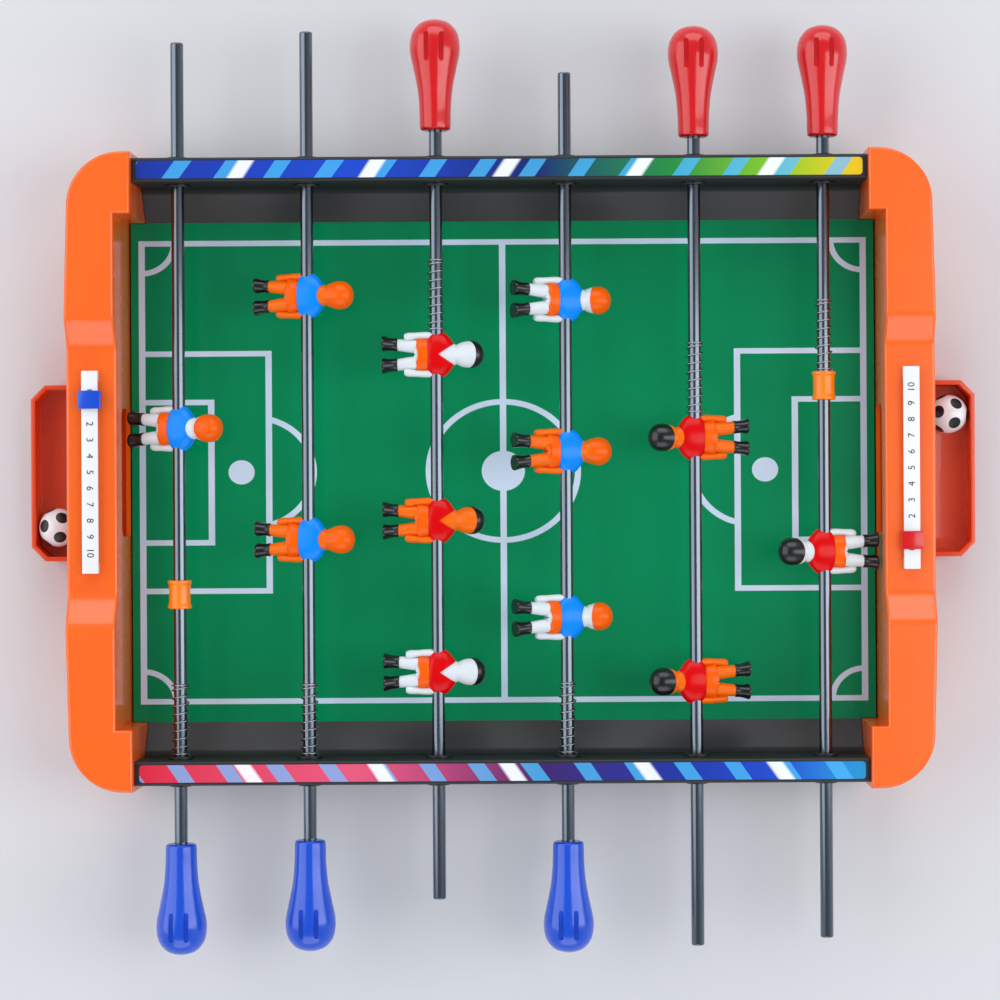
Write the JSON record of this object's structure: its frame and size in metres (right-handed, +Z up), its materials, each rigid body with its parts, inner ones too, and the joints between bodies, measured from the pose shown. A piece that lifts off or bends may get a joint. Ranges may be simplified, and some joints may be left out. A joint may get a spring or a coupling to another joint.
{
  "type": "tabletop foosball game",
  "caption": "Tabletop foosball game: green printed pitch in black and orange walls, sprung chrome rods that slide and spin, moulded players, ball trays and score sliders.",
  "frame": {"origin": "middle of the flat underside of the brace below the pitch, on the surface the game stands on", "axes": "+X along the pitch from goal to goal, +Y towards the side with the red handles, +Z up"},
  "size_m": [0.536, 0.521, 0.072],
  "materials": {
    "pitch": "glossy printed sheet on thin fibreboard",
    "black_panels": "satin moulded ABS",
    "end_panels": "glossy moulded ABS",
    "ball_trays": "glossy moulded ABS",
    "score_strips": "glossy moulded ABS",
    "balls": "glossy moulded ABS",
    "blue_plastic": "glossy moulded ABS",
    "red_plastic": "glossy moulded ABS",
    "blue_team": "glossy painted moulding",
    "red_team": "glossy painted moulding",
    "collars": "glossy moulded ABS",
    "chrome_rods": "polished chrome plate",
    "spring_steel": "bright spring wire",
    "bushings": "satin nylon"
  },
  "bodies": {
    "root": {"pitch_board": "pitch", "board_brace": "black_panels", "side_panel_red_handles": "black_panels", "side_panel_blue_handles": "black_panels", "end_panel_right": "end_panels", "end_panel_left": "end_panels", "ball_tray_right": "ball_trays", "ball_tray_left": "ball_trays", "score_strip_right": "score_strips", "score_strip_left": "score_strips", "spring_1": "spring_steel", "spring_2": "spring_steel", "spring_4": "spring_steel"},
    "rod_1_bushings": {"bushing_1_blue_side": "bushings", "bushing_1_red_side": "bushings"},
    "rod_1_set": {"rod_1": "chrome_rods", "handle_1": "blue_plastic", "player_1_1": "blue_team", "collar_1": "collars"},
    "rod_2_bushings": {"bushing_2_blue_side": "bushings", "bushing_2_red_side": "bushings"},
    "rod_2_set": {"rod_2": "chrome_rods", "handle_2": "blue_plastic", "player_2_1": "blue_team", "player_2_2": "blue_team"},
    "rod_3_bushings": {"bushing_3_blue_side": "bushings", "bushing_3_red_side": "bushings"},
    "rod_3_set": {"rod_3": "chrome_rods", "handle_3": "red_plastic", "player_3_1": "red_team", "player_3_2": "red_team", "player_3_3": "red_team", "spring_3": "spring_steel"},
    "rod_4_bushings": {"bushing_4_blue_side": "bushings", "bushing_4_red_side": "bushings"},
    "rod_4_set": {"rod_4": "chrome_rods", "handle_4": "blue_plastic", "player_4_1": "blue_team", "player_4_2": "blue_team", "player_4_3": "blue_team"},
    "rod_5_bushings": {"bushing_5_blue_side": "bushings", "bushing_5_red_side": "bushings"},
    "rod_5_set": {"rod_5": "chrome_rods", "handle_5": "red_plastic", "player_5_1": "red_team", "player_5_2": "red_team", "spring_5": "spring_steel"},
    "rod_6_bushings": {"bushing_6_blue_side": "bushings", "bushing_6_red_side": "bushings"},
    "rod_6_set": {"rod_6": "chrome_rods", "handle_6": "red_plastic", "player_6_1": "red_team", "collar_6": "collars", "spring_6": "spring_steel"},
    "score_slider_right": {"score_slider_right": "red_plastic"},
    "score_slider_left": {"score_slider_left": "blue_plastic"},
    "ball_right": {"ball_right": "balls"},
    "ball_left": {"ball_left": "balls"}
  },
  "joints": [
    {"name": "rod_1_spin", "type": "hinge", "parent": "root", "child": "rod_1_bushings", "pos_m": [-0.18, 0, 0.049], "axis": [0, 1, 0], "continuous": true},
    {"name": "rod_1_slide", "type": "slide", "parent": "rod_1_bushings", "child": "rod_1_set", "axis": [0, 1, 0], "range_m": [-0.0642, 0.0318], "deforming": ["spring_1"]},
    {"name": "rod_2_spin", "type": "hinge", "parent": "root", "child": "rod_2_bushings", "pos_m": [-0.108, 0, 0.049], "axis": [0, 1, 0], "continuous": true},
    {"name": "rod_2_slide", "type": "slide", "parent": "rod_2_bushings", "child": "rod_2_set", "axis": [0, 1, 0], "range_m": [-0.0699, 0.0301], "deforming": ["spring_2"]},
    {"name": "rod_3_spin", "type": "hinge", "parent": "root", "child": "rod_3_bushings", "pos_m": [-0.036, 0, 0.049], "axis": [0, 1, 0], "continuous": true},
    {"name": "rod_3_slide", "type": "slide", "parent": "rod_3_bushings", "child": "rod_3_set", "axis": [0, 1, 0], "range_m": [-0.0142, 0.0618], "deforming": ["spring_3"]},
    {"name": "rod_4_spin", "type": "hinge", "parent": "root", "child": "rod_4_bushings", "pos_m": [0.036, 0, 0.049], "axis": [0, 1, 0], "continuous": true},
    {"name": "rod_4_slide", "type": "slide", "parent": "rod_4_bushings", "child": "rod_4_set", "axis": [0, 1, 0], "range_m": [-0.0444, 0.0316], "deforming": ["spring_4"]},
    {"name": "rod_5_spin", "type": "hinge", "parent": "root", "child": "rod_5_bushings", "pos_m": [0.108, 0, 0.049], "axis": [0, 1, 0], "continuous": true},
    {"name": "rod_5_slide", "type": "slide", "parent": "rod_5_bushings", "child": "rod_5_set", "axis": [0, 1, 0], "range_m": [-0.0097, 0.0903], "deforming": ["spring_5"]},
    {"name": "rod_6_spin", "type": "hinge", "parent": "root", "child": "rod_6_bushings", "pos_m": [0.18, 0, 0.049], "axis": [0, 1, 0], "continuous": true},
    {"name": "rod_6_slide", "type": "slide", "parent": "rod_6_bushings", "child": "rod_6_set", "axis": [0, 1, 0], "range_m": [-0.0097, 0.0863], "deforming": ["spring_6"]},
    {"name": "score_slide_right", "type": "slide", "parent": "root", "child": "score_slider_right", "axis": [0, 1, 0], "range_m": [-0.0045, 0.0845]},
    {"name": "score_slide_left", "type": "slide", "parent": "root", "child": "score_slider_left", "axis": [0, -1, 0], "range_m": [-0.0045, 0.0845]},
    {"name": "ball_lift_right", "type": "slide", "parent": "root", "child": "ball_right", "axis": [0, 0, 1], "range_m": [0, 0.03]},
    {"name": "ball_lift_left", "type": "slide", "parent": "root", "child": "ball_left", "axis": [0, 0, 1], "range_m": [0, 0.03]}
  ]
}
